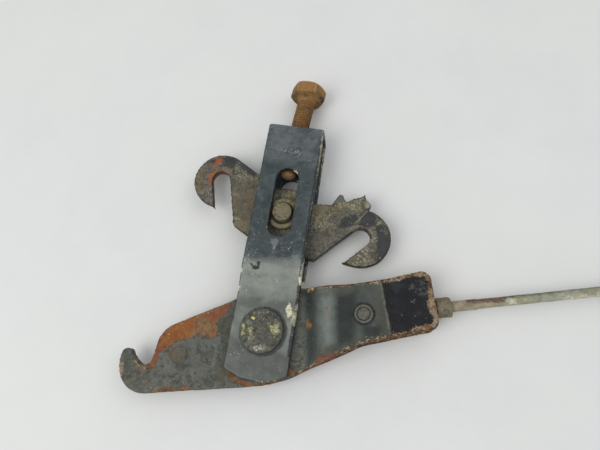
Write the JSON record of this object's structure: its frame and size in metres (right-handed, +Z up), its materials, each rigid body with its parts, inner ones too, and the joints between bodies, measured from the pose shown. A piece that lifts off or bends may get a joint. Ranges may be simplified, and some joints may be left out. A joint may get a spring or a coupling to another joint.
{
  "type": "toggle bolt latch",
  "caption": "Toggle latch with a riveted hook lever, a folded U yoke on a pivot, a screw adjuster and a sliding, tilting double hook, ending in a threaded handle rod.",
  "frame": {"origin": "on the pivot rivet's axis, in the plane of the rear faces it rests on", "axes": "+X along the lever towards the handle rod, +Y across it towards the yoke's web, +Z up out of the plates"},
  "size_m": [0.2464, 0.1633, 0.0171],
  "materials": {
    "lever_front": "worn dark paint over steel, rust along the edges",
    "lever_rear": "worn dark paint over steel, rust along the edges",
    "ply_rivet": "flush, dulled steel",
    "spacer_rivet": "rolled rim, dulled steel",
    "spacer_sleeve": "dull steel tube",
    "handle_rod": "weathered galvanised steel",
    "rod_nut": "brown oxidised steel",
    "pivot_rivet": "pitted dark steel",
    "yoke_strap": "semi-gloss blue-black paint, chipped edges",
    "adjuster_block": "blue-black paint",
    "weld_bead": "painted weld",
    "adjuster_bolt": "even brown rust",
    "thrust_pin": "brown rust",
    "cross_pin": "grimy steel",
    "pin_collar": "grimy steel",
    "double_hook": "bare weathered steel with grime and rust at the seats"
  },
  "bodies": {
    "lever": {"lever_front_plate": "lever_front", "lever_rear_plate": "lever_rear", "hook_ply_rivet": "ply_rivet", "heel_ply_rivet": "ply_rivet", "spacer_rivet": "spacer_rivet", "spacer_sleeve": "spacer_sleeve", "handle_rod": "handle_rod", "rod_nut_outer": "rod_nut", "rod_nut_inner": "rod_nut"},
    "yoke": {"yoke_strap": "yoke_strap", "adjuster_block": "adjuster_block", "block_welds": "weld_bead", "pivot_rivet": "pivot_rivet"},
    "adjuster_tip": {"thrust_pin": "thrust_pin"},
    "adjuster_screw": {"adjuster_bolt": "adjuster_bolt"},
    "pin_carriage": {"cross_pin": "cross_pin", "pin_collar_front": "pin_collar", "pin_collar_rear": "pin_collar"},
    "hook_plate": {"double_hook": "double_hook"}
  },
  "joints": [
    {"name": "yoke_swing", "type": "hinge", "parent": "lever", "child": "yoke", "pos_m": [0, 0, 0.0085], "axis": [0, 0, 1], "range_deg": [-8, 28]},
    {"name": "adjuster_travel", "type": "slide", "parent": "yoke", "child": "adjuster_tip", "axis": [-0.2207, -0.9753, 0], "range_m": [-0.00251, 0.00701]},
    {"name": "adjuster_turn", "type": "hinge", "parent": "adjuster_tip", "child": "adjuster_screw", "pos_m": [0.01631, 0.10595, 0.0085], "axis": [-0.2207, -0.9753, 0], "range_deg": [-601, 1681]},
    {"name": "pin_slide", "type": "slide", "parent": "yoke", "child": "pin_carriage", "axis": [-0.1521, -0.9884, 0], "range_m": [-0.0025, 0.007]},
    {"name": "hook_tilt", "type": "hinge", "parent": "pin_carriage", "child": "hook_plate", "pos_m": [0.00891, 0.05792, 0.0085], "axis": [0, 0, 1], "range_deg": [-4, 24]}
  ],
  "couplings": [
    {"joint": "adjuster_travel", "follows": "pin_slide", "ratio": 1},
    {"joint": "adjuster_turn", "follows": "pin_slide", "rad_per_m": 4188.8}
  ]
}
